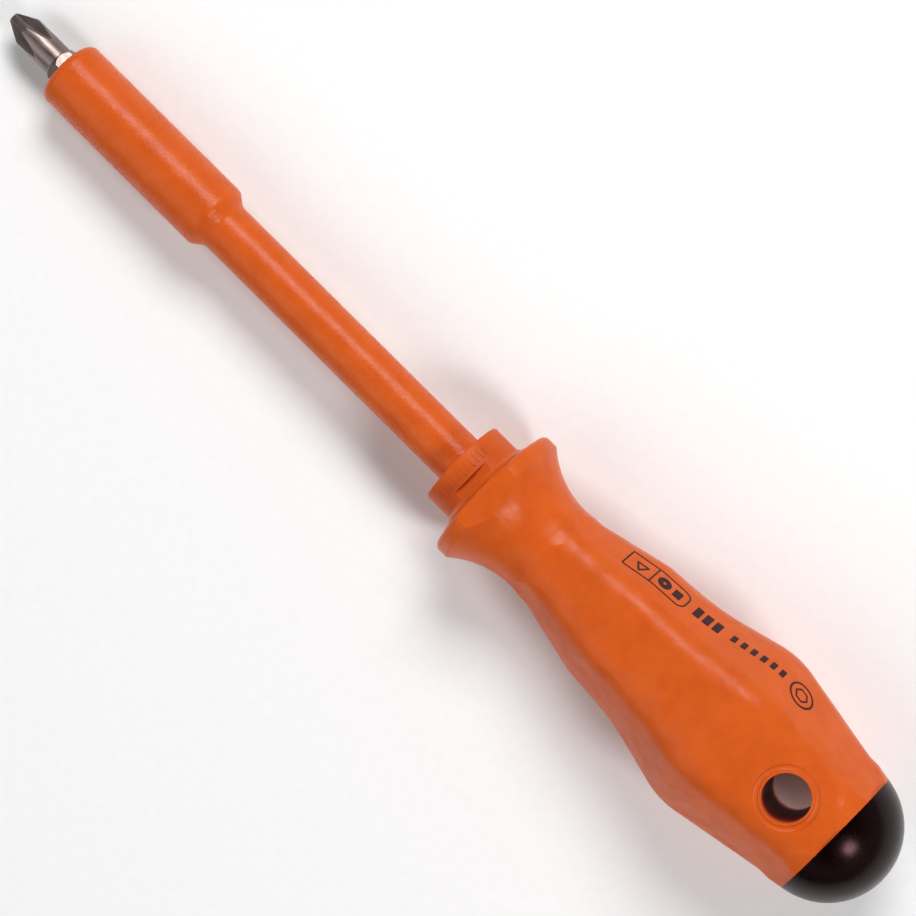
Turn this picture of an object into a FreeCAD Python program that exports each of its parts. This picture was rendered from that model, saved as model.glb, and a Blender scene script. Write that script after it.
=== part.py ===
import FreeCAD, Part
import math
import os

# Insulated bit-holding screwdriver, lying along the X axis. Millimetres.
# The origin is the centre of the hang hole, on the tool's axis. +X runs towards the
# bit's tip, and +Z is the hang hole's own axis. A turn about the tool's axis is in
# degrees from +Z towards +Y.

# ---- driving dimensions ----
HANG_HOLE_R = 4.55          # bore through the butt of the handle
BUTT_SEAM_X = -10.8         # where the end cap meets the grip
BUTT_SEAM_R = 13.8
DOME_LENGTH = 12.0          # how far the end cap stands out behind that
COLLAR_FRONT_X = 85.3       # where the blade leaves the handle
BLADE_LENGTH = 105.0        # from the collar to the front of the head
BIT_LENGTH = 25.0           # standard insert bit
BIT_EXPOSED = 14.3          # how far the bit stands out of the head
HEX_ACROSS_FLATS = 6.35     # quarter-inch drive
HEX_TURN = 35.0             # how the bit's flats lie round the axis
BIT_BODY_R = 3.05
HEAD_R = 6.75               # insulation over the bit socket
SHANK_R = 5.0               # insulation over the blade
STEEL_R = 3.0               # the blade itself
NECK_R = 9.75               # thinnest place of the handle
GUARD_R = 14.35             # rim that stops the hand
KINK_DEPTH = 12.45          # from the axis to a facet, where the neck's slope ends
BELLY_DEPTH = 17.0          # the same at the fattest place, before rounding
SHELL_THICKNESS = 2.6       # soft orange grip over the hard core

# ---- sizes that follow from them ----
HEAD_FRONT_X = COLLAR_FRONT_X + BLADE_LENGTH
TIP_X = HEAD_FRONT_X + BIT_EXPOSED
BIT_REAR_X = TIP_X - BIT_LENGTH
DOME_R = (BUTT_SEAM_R ** 2 + DOME_LENGTH ** 2) / (2 * DOME_LENGTH)
DOME_CENTRE_X = BUTT_SEAM_X - DOME_LENGTH + DOME_R
HEX_CORNER_R = HEX_ACROSS_FLATS / 2 / math.cos(math.radians(30))

# ---- grip ----
GUARD_FRONT_X = COLLAR_FRONT_X - 5.7
GUARD_BAND = (74.9, 77.6)   # rear and front edge of the rim
NECK_X = 62.3
KINK_X = 44.4
WAIST_X = 32.3              # where the gentle slope turns into the belly
WAIST_DEPTH = 13.2
BELLY_X = 16.2
RUN_OUT_X = -5.5            # the facets lie parallel to the axis from here to the end cap
SEAM_DEPTH = 13.4
FACETS = 6
FACET_CROWN = 60.0          # a facet's crown radius is its depth plus this
RIDGE_ROUNDING = 6.0
GUARD_FLAT_DEPTH = 12.8
RING_GROOVE_R = 5.65
RING_GROOVE_DEPTH = 0.4
RING_GROOVE_TUBE_R = 0.7

# ---- collar, head and blade ----
COLLAR_R = 8.85
COLLAR_FLAT_Z = 7.9
COLLAR_BAND_LENGTH = 4.0
RELIEF_MARKS = 11
SHANK_REAR_X = 52.0
SHOULDER_X = 151.4
HEAD_LIP_R = 4.3
HEAD_LIP_LENGTH = 0.8
SOCKET_R = 5.0
SOCKET_REAR_X = SHOULDER_X + 0.6
SOCKET_FRONT_X = HEAD_FRONT_X - HEAD_LIP_LENGTH
SOCKET_CLEARANCE = 0.05
MAGNET_R = 2.6
MAGNET_LENGTH = 3.0
MAGNET_GAP = 0.1
SHAFT_FRONT_X = 171.0
SHAFT_REAR_X = 22.0
WING_REAR_X = 28.0
WING_SIZE = (10.0, 2.4, 9.6)
RING_X = 187.0
RING_WIRE_R = 0.4
RING_INNER_R = HEX_CORNER_R + 0.06
SPIGOT_R = 7.0
SPIGOT_LENGTH = 3.2


def corner_arc(before, corner, after, radius):
    """The arc of this radius that rounds a corner between two straight runs."""
    here = FreeCAD.Vector(corner[0], 0, corner[1])
    back = (FreeCAD.Vector(before[0], 0, before[1]) - here).normalize()
    ahead = (FreeCAD.Vector(after[0], 0, after[1]) - here).normalize()
    half = math.acos(max(-1.0, min(1.0, back.dot(ahead)))) / 2
    reach = radius / math.tan(half)
    middle = (back + ahead).normalize() * (radius / math.sin(half) - radius)
    return Part.Arc(here + back * reach, here + middle, here + ahead * reach)


def outline(points):
    """Closed wire in the XZ plane through (x, z) or (x, z, corner radius) points."""
    arcs = []
    for i, point in enumerate(points):
        if len(point) == 3:
            following = points[(i + 1) % len(points)]
            arcs.append(corner_arc(points[i - 1], point, following, point[2]))
        else:
            arcs.append(FreeCAD.Vector(point[0], 0, point[1]))
    edges = []
    for i, item in enumerate(arcs):
        following = arcs[(i + 1) % len(arcs)]
        start = item
        if isinstance(item, Part.Arc):
            edge = item.toShape()
            edges.append(edge)
            start = edge.Vertexes[-1].Point
        end = following
        if isinstance(following, Part.Arc):
            end = following.toShape().Vertexes[0].Point
        if start.distanceToPoint(end) > 1e-6:
            edges.append(Part.LineSegment(start, end).toShape())
    return Part.Wire(edges)


def turned(points, axis_z=0.0):
    """Solid of revolution of an outline about a line parallel to X, at height axis_z."""
    face = Part.Face(outline(points))
    return face.revolve(FreeCAD.Vector(0, 0, axis_z), FreeCAD.Vector(1, 0, 0), 360)


def rod(radius, x0, x1):
    return Part.makeCylinder(radius, x1 - x0, FreeCAD.Vector(x0, 0, 0), FreeCAD.Vector(1, 0, 0))


def hexagon(across_flats, x0, x1):
    """Hexagonal bar on the X axis, with a flat facing HEX_TURN."""
    corners = []
    for k in range(7):
        angle = math.radians(HEX_TURN + 30 + 60 * k)
        reach = across_flats / 2 / math.cos(math.radians(30))
        corners.append(FreeCAD.Vector(x0, reach * math.sin(angle), reach * math.cos(angle)))
    face = Part.Face(Part.makePolygon(corners))
    return face.extrude(FreeCAD.Vector(x1 - x0, 0, 0))


def about_axis(shape, degrees):
    """A copy turned about the tool's axis, from +Z towards +Y."""
    copy = shape.copy()
    copy.rotate(FreeCAD.Vector(0, 0, 0), FreeCAD.Vector(1, 0, 0), -degrees)
    return copy


def box_between(low, high):
    size = [b - a for a, b in zip(low, high)]
    return Part.makeBox(size[0], size[1], size[2], FreeCAD.Vector(*low))


# ---- the bit ----

def bit():
    """Cross-recess insert bit: hex shank, round body, cone with four wings."""
    cone_length = 3.9
    tip_r = 1.0
    body_front = TIP_X - cone_length
    body_rear = HEAD_FRONT_X + 1.2
    body = turned([(body_rear, 0), (body_rear, HEX_CORNER_R), (body_rear + 1.0, BIT_BODY_R),
                   (body_front, BIT_BODY_R, 1.2), (TIP_X, tip_r, 0.25), (TIP_X, 0)])
    shank = hexagon(HEX_ACROSS_FLATS, BIT_REAR_X, body_rear)
    rear_chamfer = turned([(BIT_REAR_X, 0), (BIT_REAR_X, HEX_CORNER_R - 0.7),
                           (BIT_REAR_X + 1.0, HEX_CORNER_R + 0.1), (TIP_X, HEX_CORNER_R + 0.1), (TIP_X, 0)])
    hex_reach = hexagon(HEX_ACROSS_FLATS, BIT_REAR_X, TIP_X)
    notch = turned([(RING_X - 0.9, HEX_CORNER_R - 0.35), (RING_X + 0.9, HEX_CORNER_R - 0.35),
                    (RING_X + 1.5, HEX_CORNER_R + 0.3), (RING_X - 1.5, HEX_CORNER_R + 0.3)])
    solid = shank.common(rear_chamfer).cut(notch).fuse(body.common(hex_reach))
    for k in range(4):
        solid = solid.cut(flute(45 + 90 * k))
    return solid.removeSplitter()


def flute(turn):
    """V-rimmed wheel that mills one hollow between the wings; its round runs out on the body."""
    wheel_r = 22.0
    floor_z = 0.95
    half_floor = 0.3
    rim = 5.0
    spread = half_floor + rim * math.tan(math.radians(47))
    x = TIP_X + 0.5
    corners = [FreeCAD.Vector(x, -half_floor, floor_z), FreeCAD.Vector(x, half_floor, floor_z),
               FreeCAD.Vector(x, spread, floor_z + rim), FreeCAD.Vector(x, -spread, floor_z + rim)]
    face = Part.Face(Part.makePolygon(corners + corners[:1]))
    hub = FreeCAD.Vector(x, 0, floor_z + wheel_r)
    return about_axis(face.revolve(hub, FreeCAD.Vector(0, 1, 0), 360), turn)


# ---- the head: socket, magnet, retaining ring and sleeve ----

def bit_socket():
    """Steel socket: hexagonal hole for the bit, magnet pocket, bore for the blade."""
    front = turned([(SOCKET_REAR_X, 0), (SOCKET_REAR_X, SOCKET_R, 0.5),
                    (SOCKET_FRONT_X, SOCKET_R), (SOCKET_FRONT_X, 0)])
    hex_hole = hexagon(HEX_ACROSS_FLATS + 2 * SOCKET_CLEARANCE, BIT_REAR_X - MAGNET_GAP, SOCKET_FRONT_X)
    pocket = rod(MAGNET_R, BIT_REAR_X - MAGNET_GAP - MAGNET_LENGTH, BIT_REAR_X)
    shaft_bore = rod(STEEL_R, SOCKET_REAR_X, SHAFT_FRONT_X)
    groove_r = RING_INNER_R + 2 * RING_WIRE_R + 0.1
    groove = rod(groove_r, RING_X - RING_WIRE_R - 0.1, RING_X + RING_WIRE_R + 0.1)
    return front.cut(hex_hole).cut(pocket).cut(shaft_bore).cut(groove)


def magnet():
    rear = BIT_REAR_X - MAGNET_GAP - MAGNET_LENGTH
    return rod(MAGNET_R, rear, rear + MAGNET_LENGTH)


def retaining_ring():
    """Open spring ring in the socket's groove, just clear of the bit's corners."""
    ring = Part.makeTorus(RING_INNER_R + RING_WIRE_R, RING_WIRE_R,
                          FreeCAD.Vector(RING_X, 0, 0), FreeCAD.Vector(1, 0, 0))
    gap = box_between((RING_X - 1, 0, -1.1), (RING_X + 1, 9, 1.1))
    return ring.cut(gap)


def head_sleeve():
    """Insulating sleeve over the socket, with a lip over the socket's front face."""
    outside = turned([(SHOULDER_X, 0), (SHOULDER_X, HEAD_R), (HEAD_FRONT_X, HEAD_R, 1.7),
                      (HEAD_FRONT_X, 0)])
    inside = rod(SOCKET_R, SHOULDER_X, SOCKET_FRONT_X)
    mouth = turned([(SOCKET_FRONT_X - 1, 0), (SOCKET_FRONT_X - 1, HEAD_LIP_R),
                    (HEAD_FRONT_X - 0.3, HEAD_LIP_R), (HEAD_FRONT_X, HEAD_LIP_R + 0.3),
                    (HEAD_FRONT_X, 0)])
    return outside.cut(inside).cut(mouth)


# ---- the blade ----

def shaft():
    """Round steel blade, forged into two wings inside the handle to take the torque."""
    bar = turned([(SHAFT_REAR_X, 0), (SHAFT_REAR_X, STEEL_R, 0.6), (SHAFT_FRONT_X, STEEL_R, 0.4),
                  (SHAFT_FRONT_X, 0)])
    length, thickness, width = WING_SIZE
    wings = box_between((WING_REAR_X, -width / 2, -thickness / 2),
                        (WING_REAR_X + length, width / 2, thickness / 2))
    return bar.fuse(wings).removeSplitter()


def shank_sleeve():
    """Insulating tube over the blade, flared at the front to meet the head's sleeve."""
    outside = turned([(SHANK_REAR_X, 0), (SHANK_REAR_X, SHANK_R), (SHOULDER_X - 3.3, SHANK_R, 1.6),
                      (SHOULDER_X - 1.0, HEAD_R, 1.6), (SHOULDER_X, HEAD_R), (SHOULDER_X, 0)])
    return outside.cut(rod(STEEL_R, SHANK_REAR_X, SHOULDER_X))


# ---- the handle ----

def collar():
    """Ring that seats the blade on the handle: round band, and two flats behind it."""
    solid = turned([(GUARD_FRONT_X, SHANK_R), (GUARD_FRONT_X, COLLAR_R),
                    (COLLAR_FRONT_X, COLLAR_R, 0.3), (COLLAR_FRONT_X, SHANK_R)])
    for side in (0, 180):
        flat = box_between((GUARD_FRONT_X, -9, COLLAR_FLAT_Z),
                           (COLLAR_FRONT_X - COLLAR_BAND_LENGTH, 9, 12))
        solid = solid.cut(about_axis(flat, side))
    for k in range(RELIEF_MARKS):
        solid = solid.fuse(relief_mark(7.5 * (k - (RELIEF_MARKS - 1) / 2)))
    return solid.removeSplitter()


def relief_mark(turn):
    """One short raised rib on the collar's round band."""
    x = COLLAR_FRONT_X - COLLAR_BAND_LENGTH / 2 - 0.2
    rib = box_between((x - 1.0, -0.16, COLLAR_R - 0.5), (x + 1.0, 0.16, COLLAR_R + 0.14))
    return about_axis(rib, turn)


def facet_outline(inset=0.0):
    """Depth of the facets along the grip, as outline points less an inset."""
    return [(BUTT_SEAM_X, SEAM_DEPTH - inset), (RUN_OUT_X, SEAM_DEPTH - inset, 8),
            (BELLY_X, BELLY_DEPTH - inset, 18), (WAIST_X, WAIST_DEPTH - inset, 60),
            (KINK_X, KINK_DEPTH - inset, 8)]


def facet_body(turn):
    """Barrel whose surface near `turn` is one slightly crowned facet of the grip."""
    floor = -FACET_CROWN
    points = facet_outline() + [(NECK_X - 0.8, NECK_R - 0.85, 12), (76, 16), (GUARD_FRONT_X, 16),
                                (GUARD_FRONT_X, floor), (BUTT_SEAM_X, floor)]
    return about_axis(turned(points, floor), turn)


def round_body():
    """Round outline that the facets run out into at the guard, the neck and the butt."""
    rear, front = GUARD_BAND
    points = [(BUTT_SEAM_X, 0), (BUTT_SEAM_X, BUTT_SEAM_R), (RUN_OUT_X, BUTT_SEAM_R + 1.0, 6),
              (BELLY_X, 20.0), (KINK_X, 17.0), (NECK_X - 2.5, NECK_R, 14), (NECK_X + 7, NECK_R, 18),
              (rear, GUARD_R, 0.5), (front, GUARD_R, 1.0), (GUARD_FRONT_X - 0.9, COLLAR_R + 0.8, 1.5),
              (GUARD_FRONT_X, COLLAR_R), (GUARD_FRONT_X, 0)]
    return turned(points)


def ring_groove(side):
    """Shallow round groove in the facet, around the hang hole."""
    slope = math.degrees(math.atan2(BELLY_DEPTH - SEAM_DEPTH, BELLY_X - RUN_OUT_X))
    depth = SEAM_DEPTH - RUN_OUT_X * math.tan(math.radians(slope))
    groove = Part.makeTorus(RING_GROOVE_R, RING_GROOVE_TUBE_R)
    groove.translate(FreeCAD.Vector(0, 0, RING_GROOVE_TUBE_R - RING_GROOVE_DEPTH))
    groove.rotate(FreeCAD.Vector(0, 0, 0), FreeCAD.Vector(0, 1, 0), -slope)
    groove.translate(FreeCAD.Vector(0, 0, depth))
    return about_axis(groove, side)


def hang_hole():
    return Part.makeCylinder(HANG_HOLE_R, 60, FreeCAD.Vector(0, 0, -30))


def is_ridge(edge):
    """True for an edge where two facets of the grip meet."""
    middle = edge.valueAt((edge.FirstParameter + edge.LastParameter) / 2)
    turn = math.degrees(math.atan2(middle.y, middle.z))
    off_ridge = abs(turn % (360 / FACETS) - 180 / FACETS)
    return off_ridge < 1 and edge.BoundBox.XLength > 0.5


def grip_outside():
    """Crowned hexagon with rounded ridges that turns round at both ends; flats at the guard."""
    solid = facet_body(0)
    for k in range(1, FACETS):
        solid = solid.common(facet_body(360 / FACETS * k))
    solid = solid.makeFillet(RIDGE_ROUNDING, [edge for edge in solid.Edges if is_ridge(edge)])
    solid = solid.common(round_body())
    for side in (0, 180):
        guard_flat = box_between((70, -15, GUARD_FLAT_DEPTH), (80, 15, 20))
        solid = solid.cut(about_axis(guard_flat, side))
    return solid


def core_outside():
    """Hard core: follows the grip's outline, one shell thickness inside it."""
    inner = SHELL_THICKNESS
    front = GUARD_FRONT_X - 3
    neck = [(NECK_X - 4, NECK_R - inner, 20), (front, NECK_R - inner), (front, 0), (BUTT_SEAM_X, 0)]
    return turned(facet_outline(inner) + neck)


def handle_core():
    """Hard plastic core, moulded round the blade's wings, with the end cap's socket."""
    cap_socket = rod(SPIGOT_R, BUTT_SEAM_X, BUTT_SEAM_X + SPIGOT_LENGTH)
    blade_space = shaft().fuse(rod(SHANK_R, SHANK_REAR_X, GUARD_FRONT_X))
    return core_outside().cut(blade_space).cut(hang_hole()).cut(cap_socket)


def grip_shell():
    """Orange grip moulded over the core, from the collar to the end cap."""
    solid = grip_outside().cut(core_outside())
    solid = solid.cut(rod(SHANK_R, SHANK_REAR_X, GUARD_FRONT_X))
    solid = solid.cut(hang_hole())
    for side in (0, 180):
        solid = solid.cut(ring_groove(side))
    return solid


def end_cap():
    """Dome that closes the butt, with a spigot into the core."""
    dome = Part.makeSphere(DOME_R, FreeCAD.Vector(DOME_CENTRE_X, 0, 0))
    behind_seam = box_between((BUTT_SEAM_X - 20, -20, -20), (BUTT_SEAM_X, 20, 20))
    spigot = turned([(BUTT_SEAM_X - 1, 0), (BUTT_SEAM_X - 1, SPIGOT_R),
                     (BUTT_SEAM_X + SPIGOT_LENGTH, SPIGOT_R, 0.5), (BUTT_SEAM_X + SPIGOT_LENGTH, 0)])
    return dome.common(behind_seam).fuse(spigot).removeSplitter()


NODES = {
    "bit": bit,
    "retaining_ring": retaining_ring,
    "magnet": magnet,
    "bit_socket": bit_socket,
    "head_sleeve": head_sleeve,
    "shaft": shaft,
    "shank_sleeve": shank_sleeve,
    "collar": collar,
    "handle_core": handle_core,
    "grip_shell": grip_shell,
    "end_cap": end_cap,
}


def main():
    os.makedirs("parts", exist_ok=True)
    for name, make in NODES.items():
        shape = make()
        shape.exportStep("parts/" + name + ".step")
        box = shape.optimalBoundingBox(False)
        print(f"{name}: {len(shape.Solids)} solid, valid {shape.isValid()}, {shape.Volume:.1f} mm3, "
              f"x {box.XMin:.2f} to {box.XMax:.2f}, y {box.YMin:.2f} to {box.YMax:.2f}, "
              f"z {box.ZMin:.2f} to {box.ZMax:.2f}")


main()
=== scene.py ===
import math

import bmesh
import bpy
from mathutils import Matrix, Vector
from mathutils.bvhtree import BVHTree


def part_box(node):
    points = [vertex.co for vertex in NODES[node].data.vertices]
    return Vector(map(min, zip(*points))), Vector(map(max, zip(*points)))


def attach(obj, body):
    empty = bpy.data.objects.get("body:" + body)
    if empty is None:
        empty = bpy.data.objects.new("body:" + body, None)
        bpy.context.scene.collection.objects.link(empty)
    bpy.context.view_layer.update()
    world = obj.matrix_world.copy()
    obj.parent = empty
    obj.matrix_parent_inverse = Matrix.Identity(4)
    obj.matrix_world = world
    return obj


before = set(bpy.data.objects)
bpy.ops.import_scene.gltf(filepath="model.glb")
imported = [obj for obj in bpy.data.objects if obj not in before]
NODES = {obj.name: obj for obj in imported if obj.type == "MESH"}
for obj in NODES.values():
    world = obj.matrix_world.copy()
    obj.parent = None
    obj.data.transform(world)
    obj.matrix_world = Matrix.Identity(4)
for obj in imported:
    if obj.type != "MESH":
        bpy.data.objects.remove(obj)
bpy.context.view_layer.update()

MM = 0.001

# ---- places taken from the frame ----
COLLAR_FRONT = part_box("collar")[1].x
HEAD_LOW, HEAD_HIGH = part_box("head_sleeve")
BELLY_LOW_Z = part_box("grip_shell")[0].z
BELLY_X = 16.5 * MM               # where the grip is fattest


# ---- node helpers ----

class Shader:
    """A small wrapper that adds and links nodes in one material."""

    def __init__(self, name):
        self.material = bpy.data.materials.new(name)
        self.material.use_nodes = True
        self.tree = self.material.node_tree
        self.surface = self.tree.nodes["Principled BSDF"]
        self.place = self.add("ShaderNodeTexCoord").outputs["Object"]

    def add(self, kind):
        return self.tree.nodes.new(kind)

    def link(self, source, target):
        self.tree.links.new(source, target)

    def set(self, **values):
        """Sets plain values, with an underscore for each space in an input's name."""
        for key, value in values.items():
            self.surface.inputs[key.replace("_", " ")].default_value = value

    def stretched(self, scale):
        """Object coordinates scaled by a different number along each axis."""
        mapping = self.add("ShaderNodeMapping")
        mapping.inputs["Scale"].default_value = scale
        self.link(self.place, mapping.inputs["Vector"])
        return mapping.outputs["Vector"]

    def noise(self, size, detail=2.0, rough=0.5, place=None):
        """Noise with blotches of about this size, in metres."""
        node = self.add("ShaderNodeTexNoise")
        node.inputs["Scale"].default_value = 1.0 / size
        node.inputs["Detail"].default_value = detail
        node.inputs["Roughness"].default_value = rough
        self.link(place or self.place, node.inputs["Vector"])
        return node.outputs["Fac"]

    def rough(self, value, to_low, to_high, low=0.3, high=0.7):
        """Makes the roughness follow a value."""
        node = self.add("ShaderNodeMapRange")
        node.inputs["From Min"].default_value = low
        node.inputs["From Max"].default_value = high
        node.inputs["To Min"].default_value = to_low
        node.inputs["To Max"].default_value = to_high
        self.link(value, node.inputs["Value"])
        self.link(node.outputs["Result"], self.surface.inputs["Roughness"])

    def paint(self, value, stops):
        """Makes the base colour follow a value, through a colour ramp."""
        node = self.add("ShaderNodeValToRGB")
        elements = node.color_ramp.elements
        while len(elements) < len(stops):
            elements.new(0.5)
        for element, (position, colour) in zip(elements, stops):
            element.position = position
            element.color = (*colour, 1.0)
        self.link(value, node.inputs["Fac"])
        self.link(node.outputs["Color"], self.surface.inputs["Base Color"])

    def bump(self, height, distance, under=None):
        """Normals of a height map, laid over those of an earlier bump."""
        node = self.add("ShaderNodeBump")
        node.inputs["Distance"].default_value = distance
        self.link(height, node.inputs["Height"])
        if under is not None:
            self.link(under, node.inputs["Normal"])
        return node.outputs["Normal"]

    def relief(self, normals):
        self.link(normals, self.surface.inputs["Normal"])


# ---- materials ----

ORANGE = (0.64, 0.100, 0.010)
ORANGE_DEEP = (0.60, 0.090, 0.008)
ORANGE_PALE = (0.67, 0.112, 0.013)


def orange_plastic(name, rough, gloss, peel_size, peel_depth, wave_depth):
    """Moulded orange plastic: faint blotches, a fine peel texture and broad waviness."""
    shader = Shader(name)
    blotches = shader.noise(5 * MM, detail=4, rough=0.6)
    shader.paint(blotches, [(0.32, ORANGE_DEEP), (0.5, ORANGE), (0.72, ORANGE_PALE)])
    grime = shader.noise(1.6 * MM, detail=4, rough=0.6)
    shader.rough(grime, rough - 0.06, rough + 0.08)
    waves = shader.bump(shader.noise(6 * MM, detail=1), wave_depth)
    peel = shader.bump(shader.noise(peel_size, detail=1.5), peel_depth, under=waves)
    shader.relief(peel)
    shader.set(IOR=1.5, Specular_IOR_Level=gloss, Subsurface_Weight=0.1, Subsurface_Scale=1 * MM)
    shader.surface.inputs["Subsurface Radius"].default_value = (1.0, 0.35, 0.12)
    return shader.material


def dark_plastic(name, rough, gloss, colour):
    """Dark maroon plastic with a soft gloss."""
    shader = Shader(name)
    cloud = shader.noise(5 * MM, detail=3)
    deep = tuple(c * 0.6 for c in colour)
    shader.paint(cloud, [(0.3, deep), (0.7, colour)])
    scuffs = shader.noise(0.6 * MM, detail=5, rough=0.65)
    shader.rough(scuffs, rough - 0.04, rough + 0.08, high=0.75)
    shader.relief(shader.bump(shader.noise(0.5 * MM, detail=2), 0.006 * MM))
    shader.set(IOR=1.5, Specular_IOR_Level=gloss)
    shader.surface.inputs["Specular Tint"].default_value = (1.0, 0.5, 0.5, 1.0)
    return shader.material


def machined_steel(name, tint, rough, line_size, lines_along=(1.0, 1.0, 1.0)):
    """Ground or drawn steel: fine lines, patchy oxide and a satin gloss."""
    shader = Shader(name)
    patches = shader.noise(3 * MM, detail=2)
    dark = tuple(c * 0.85 for c in tint)
    shader.paint(patches, [(0.35, dark), (0.62, tint)])
    lines = shader.noise(line_size, detail=3, place=shader.stretched(lines_along))
    shader.rough(lines, rough - 0.08, rough + 0.1)
    shader.relief(shader.bump(lines, 0.004 * MM))
    shader.set(Metallic=1.0)
    return shader.material


def ink(name):
    """Thin dark print, slightly broken."""
    shader = Shader(name)
    wear = shader.noise(0.5 * MM, detail=4, rough=0.7)
    shader.paint(wear, [(0.25, (0.015, 0.006, 0.010)), (0.8, (0.07, 0.014, 0.012))])
    shader.rough(wear, 0.4, 0.55)
    shader.set(Specular_IOR_Level=0.15)
    return shader.material


def floor_paper(name):
    """Plain white studio paper."""
    shader = Shader(name)
    grain = shader.noise(2 * MM, detail=3)
    shader.paint(grain, [(0.3, (0.93, 0.93, 0.93)), (0.7, (0.95, 0.95, 0.95))])
    shader.set(Roughness=0.9)
    return shader.material


def dress(node, material):
    """Gives a carried-over CAD node its material."""
    mesh = NODES[node].data
    mesh.materials.clear()
    mesh.materials.append(material)


def dress_nodes():
    dress("grip_shell", orange_plastic("grip_plastic", 0.34, 0.17, 0.8 * MM, 0.014 * MM, 0.55 * MM))
    sleeve = orange_plastic("sleeve_plastic", 0.30, 0.18, 0.5 * MM, 0.060 * MM, 0.2 * MM)
    dress("collar", orange_plastic("collar_plastic", 0.46, 0.15, 0.4 * MM, 0.050 * MM, 0.2 * MM))
    dress("head_sleeve", sleeve)
    dress("shank_sleeve", sleeve)
    dress("end_cap", dark_plastic("cap_plastic", 0.24, 0.2, (0.003, 0.0002, 0.0006)))
    dress("handle_core", dark_plastic("core_plastic", 0.42, 0.05, (0.26, 0.006, 0.009)))
    dress("bit", machined_steel("bit_steel", (0.25, 0.195, 0.178), 0.38, 0.25 * MM, (0.1, 1, 1)))
    dress("bit_socket", machined_steel("socket_steel", (0.55, 0.55, 0.56), 0.32, 0.3 * MM, (2, 0.3, 0.3)))
    dress("shaft", machined_steel("blade_steel", (0.60, 0.60, 0.61), 0.36, 0.3 * MM, (0.1, 1, 1)))
    dress("retaining_ring", machined_steel("spring_steel", (0.55, 0.55, 0.56), 0.25, 0.2 * MM))
    dress("magnet", machined_steel("magnet_nickel", (0.72, 0.70, 0.66), 0.2, 0.3 * MM))


# ---- the print on the grip ----

INK_ANGLE = math.radians(-62.4)   # where the print's centre line lies, from +Z towards +Y
INK_PROUD = 0.03 * MM             # how far the ink's middle stands off the grip
INK_THICKNESS = 0.048 * MM
INK_STEP = 0.4 * MM               # longest side of one of its quads
INK_LINE = 0.3 * MM
RAY_START = 50 * MM               # from the axis, well outside the grip
SIGN_FRONT = 50.8 * MM            # the framed sign: its two ends, and the line between its fields
SIGN_DIVIDE = 45.0 * MM
SIGN_REAR = 37.2 * MM
SIGN_HALF = 2.5 * MM
SIGN_ROUNDING = 1.6 * MM
BARS_FRONT = 35.3 * MM
DASHES_FRONT = 27.1 * MM
RING_X = 10.9 * MM


class Wrap:
    """Lays flat points (x along the tool, v around it) on the grip's surface."""

    def __init__(self):
        mesh = NODES["grip_shell"].data
        vertices = [v.co for v in mesh.vertices]
        self.tree = BVHTree.FromPolygons(vertices, [tuple(p.vertices) for p in mesh.polygons])

    def at(self, x, v):
        """The place just off the grip that a flat point goes to."""
        reach = self.hit(x, INK_ANGLE)[0].yz.length
        spot, normal = self.hit(x, INK_ANGLE + v / reach)
        return spot + normal * INK_PROUD

    def hit(self, x, angle):
        """Where a ray from outside, at this turn about the axis, meets the grip; and the normal there."""
        out = Vector((0, math.sin(angle), math.cos(angle)))
        return self.tree.ray_cast(Vector((x, 0, 0)) + out * RAY_START, -out)[:2]


def ribbon(points, width, closed=False):
    """Flat quads of a constant width along a line of (x, v) points."""
    spots = [Vector(p) for p in points]
    if closed:
        spots.append(spots[0])
    fine = []
    for a, b in zip(spots, spots[1:]):
        steps = max(1, math.ceil((b - a).length / INK_STEP))
        fine += [a.lerp(b, i / steps) for i in range(steps)]
    fine.append(spots[-1])
    sides = []
    for i, spot in enumerate(fine):
        back = fine[i - 1] if i else (fine[-2] if closed else fine[0])
        ahead = fine[i + 1] if i + 1 < len(fine) else (fine[1] if closed else fine[-1])
        along = (ahead - back).normalized()
        across = Vector((-along.y, along.x)) * width / 2
        sides.append((spot + across, spot - across))
    return [(a[0], b[0], b[1], a[1]) for a, b in zip(sides, sides[1:])]


def patch(x0, x1, v0, v1):
    """A filled rectangle, as a grid of flat quads."""
    nx = max(1, math.ceil((x1 - x0) / INK_STEP))
    nv = max(1, math.ceil((v1 - v0) / INK_STEP))
    quads = []
    for i in range(nx):
        for j in range(nv):
            xa, xb = x0 + (x1 - x0) * i / nx, x0 + (x1 - x0) * (i + 1) / nx
            va, vb = v0 + (v1 - v0) * j / nv, v0 + (v1 - v0) * (j + 1) / nv
            quads.append((Vector((xa, va)), Vector((xb, va)), Vector((xb, vb)), Vector((xa, vb))))
    return quads


def row(front, count, length, step, half):
    """A row of equal filled blocks, from its front one towards the butt."""
    quads = []
    for k in range(count):
        quads += patch(front - length - step * k, front - step * k, -half, half)
    return quads


def circle(x, v, radius, count, turn=0.0):
    """Corner points of a regular shape with this many corners."""
    steps = [turn + math.tau * i / count for i in range(count)]
    return [(x + radius * math.cos(a), v + radius * math.sin(a)) for a in steps]


def rounded_box(x0, x1, v0, v1, radius):
    """Corner points of a box whose two butt-side corners are round."""
    points = [(x1, v0), (x1, v1)]
    for centre_v, start in ((v1 - radius, 90), (v0 + radius, 180)):
        for k in range(7):
            angle = math.radians(start + 15 * k)
            points.append((x0 + radius + radius * math.cos(angle), centre_v + radius * math.sin(angle)))
    return points


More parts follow.
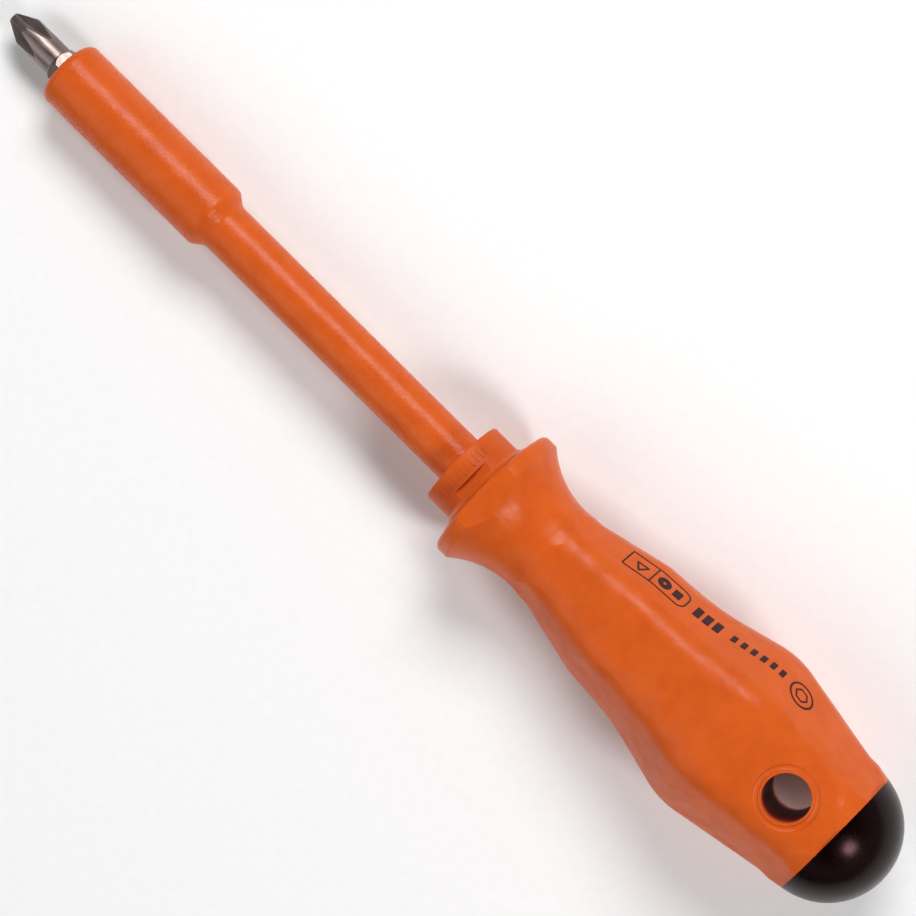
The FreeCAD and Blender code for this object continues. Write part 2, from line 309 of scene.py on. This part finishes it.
def print_piece(name, wrap, quads, material):
    """A thin closed shell of ink in the shape of the flat quads."""
    bm = bmesh.new()
    for quad in quads:
        bm.faces.new([bm.verts.new(wrap.at(p.x, p.y)) for p in quad])
    bmesh.ops.remove_doubles(bm, verts=bm.verts, dist=0.004 * MM)
    bmesh.ops.recalc_face_normals(bm, faces=bm.faces)
    mesh = bpy.data.meshes.new(name)
    bm.to_mesh(mesh)
    bm.free()
    mesh.materials.append(material)
    piece = bpy.data.objects.new(name, mesh)
    bpy.context.scene.collection.objects.link(piece)
    thickness = piece.modifiers.new("thickness", "SOLIDIFY")
    thickness.thickness = INK_THICKNESS
    thickness.offset = 0
    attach(piece, "driver")


def print_marks():
    """Plain shapes where the maker's print would be: a framed sign, bars and a hexagon in a ring."""
    wrap = Wrap()
    material = ink("print_ink")
    sign = rounded_box(SIGN_REAR, SIGN_FRONT, -SIGN_HALF, SIGN_HALF, SIGN_ROUNDING)
    divide = [(SIGN_DIVIDE, -SIGN_HALF), (SIGN_DIVIDE, SIGN_HALF)]
    frame_quads = ribbon(sign, INK_LINE, closed=True) + ribbon(divide, INK_LINE)
    print_piece("print_frame", wrap, frame_quads, material)
    triangle = circle(SIGN_DIVIDE + 2.7 * MM, 0.2 * MM, 1.4 * MM, 3, math.radians(90))
    print_piece("print_triangle", wrap, ribbon(triangle, 0.4 * MM, closed=True), material)
    disc = circle(SIGN_DIVIDE - 2.4 * MM, 0, 0.9 * MM, 32)
    print_piece("print_disc", wrap, ribbon(disc, 1.1 * MM, closed=True), material)
    block = patch(SIGN_DIVIDE - 6.4 * MM, SIGN_DIVIDE - 4.6 * MM, -1.1 * MM, 1.1 * MM)
    print_piece("print_block", wrap, block, material)
    print_piece("print_bars", wrap, row(BARS_FRONT, 3, 1.5 * MM, 2.2 * MM, 1.5 * MM), material)
    print_piece("print_dashes", wrap, row(DASHES_FRONT, 6, 1.1 * MM, 2.1 * MM, 1.0 * MM), material)
    ring = circle(RING_X, 0, 2.65 * MM, 64)
    print_piece("print_ring", wrap, ribbon(ring, 0.4 * MM, closed=True), material)
    hexagon = circle(RING_X, 0, 1.45 * MM, 6)
    print_piece("print_hexagon", wrap, ribbon(hexagon, 0.36 * MM, closed=True), material)


# ---- floor, camera and lights ----

VIEW_TARGET = Vector((COLLAR_FRONT + 1.0 * MM, -0.1 * MM, 0))
VIEW_ROLL = math.radians(6.6)       # the camera stands this far round the tool from the hang hole
VIEW_LEAN = math.radians(6.5)       # and leans this far towards the butt
VIEW_DISTANCE = 0.700
LENS = 149.3
SENSOR = 36.0
AXIS_IN_PICTURE = Vector((-0.7092, 0.7050))   # where +X points, right and up
KEY_ANGLE = math.radians(34)        # between the key light and the camera
FILL_ANGLE = math.radians(48)       # the same for the fill, on the other side
KEY_FORWARD = 0.36                  # how far each of them moves towards the tip
FILL_FORWARD = 0.3
LIGHT_DISTANCE = 0.9
FLOOR_SIZE = 1.5
FLOOR_GAP = 0.05 * MM
HEAD_EDGE = 1.5 * MM                # the head's rounded front edge doesn't reach the floor
WORLD_STOPS = ((0.05, 0.02), (0.25, 0.35), (0.4, 0.45), (0.8, 0.01))   # height and brightness


def tool_axes():
    """Along the tool and across it, as the camera sees them, and towards the camera."""
    across = Vector((0, -math.sin(VIEW_ROLL), math.cos(VIEW_ROLL)))
    back = across * math.cos(VIEW_LEAN) - Vector((1, 0, 0)) * math.sin(VIEW_LEAN)
    along = (Vector((1, 0, 0)) - back * back.x).normalized()
    return along, back.cross(along), back


def make_camera():
    along, side, back = tool_axes()
    right = along * AXIS_IN_PICTURE.x - side * AXIS_IN_PICTURE.y
    up = along * AXIS_IN_PICTURE.y + side * AXIS_IN_PICTURE.x
    data = bpy.data.cameras.new("camera")
    data.lens = LENS
    data.sensor_width = SENSOR
    camera = bpy.data.objects.new("camera", data)
    turn = Matrix((right, up, back)).transposed().to_4x4()
    camera.matrix_world = Matrix.Translation(VIEW_TARGET + back * VIEW_DISTANCE) @ turn
    bpy.context.scene.collection.objects.link(camera)
    bpy.context.scene.camera = camera


def area_light(name, direction, size, power):
    """A soft rectangular light that looks at the tool from a direction."""
    data = bpy.data.lights.new(name, "AREA")
    data.shape = "RECTANGLE"
    data.size, data.size_y = size
    data.energy = power
    light = bpy.data.objects.new(name, data)
    direction = direction.normalized()
    light.location = VIEW_TARGET + direction * LIGHT_DISTANCE
    light.rotation_euler = direction.to_track_quat("Z", "Y").to_euler()
    bpy.context.scene.collection.objects.link(light)


def make_lights():
    along, side, back = tool_axes()
    key = back * math.cos(KEY_ANGLE) - side * math.sin(KEY_ANGLE) + along * KEY_FORWARD
    fill = back * math.cos(FILL_ANGLE) + side * math.sin(FILL_ANGLE) + along * FILL_FORWARD
    area_light("key", key, size=(0.45, 0.32), power=5.7)
    area_light("fill", fill, size=(0.9, 0.7), power=2.3)
    area_light("butt_fill", back * 0.75 - along * 0.72, size=(0.2, 0.2), power=3.0)
    make_world(back)


def make_world(overhead):
    """Studio that is dark overhead and near the floor, and bright in between."""
    world = bpy.data.worlds.new("studio")
    world.use_nodes = True
    tree = world.node_tree
    place = tree.nodes.new("ShaderNodeTexCoord")
    height = tree.nodes.new("ShaderNodeVectorMath")
    height.operation = "DOT_PRODUCT"
    height.inputs[1].default_value = overhead
    tree.links.new(place.outputs["Generated"], height.inputs[0])
    fade = tree.nodes.new("ShaderNodeValToRGB")
    stops = fade.color_ramp.elements
    stops.new(0.5)
    stops.new(0.5)
    for stop, (position, level) in zip(stops, WORLD_STOPS):
        stop.position = position
        stop.color = (level, level, level, 1)
    tree.links.new(height.outputs["Value"], fade.inputs["Fac"])
    tree.links.new(fade.outputs["Color"], tree.nodes["Background"].inputs["Strength"])
    tree.nodes["Background"].inputs["Color"].default_value = (1, 1, 1, 1)
    bpy.context.scene.world = world


def make_floor():
    """White sheet that touches the grip's belly and the front of the head."""
    belly = Vector((BELLY_X, 0, BELLY_LOW_Z))
    head = Vector((HEAD_HIGH.x - HEAD_EDGE, 0, HEAD_LOW.z))
    slope = math.atan2(head.z - belly.z, head.x - belly.x)
    bm = bmesh.new()
    bmesh.ops.create_grid(bm, x_segments=8, y_segments=8, size=FLOOR_SIZE)
    mesh = bpy.data.meshes.new("floor")
    bm.to_mesh(mesh)
    bm.free()
    mesh.materials.append(floor_paper("floor_paper"))
    floor = bpy.data.objects.new("floor", mesh)
    floor.location = belly - Vector((0, 0, FLOOR_GAP))
    floor.rotation_euler = (0, -slope, 0)
    bpy.context.scene.collection.objects.link(floor)


bpy.context.scene.view_settings.view_transform = "Standard"
dress_nodes()
print_marks()
make_floor()
make_camera()
make_lights()
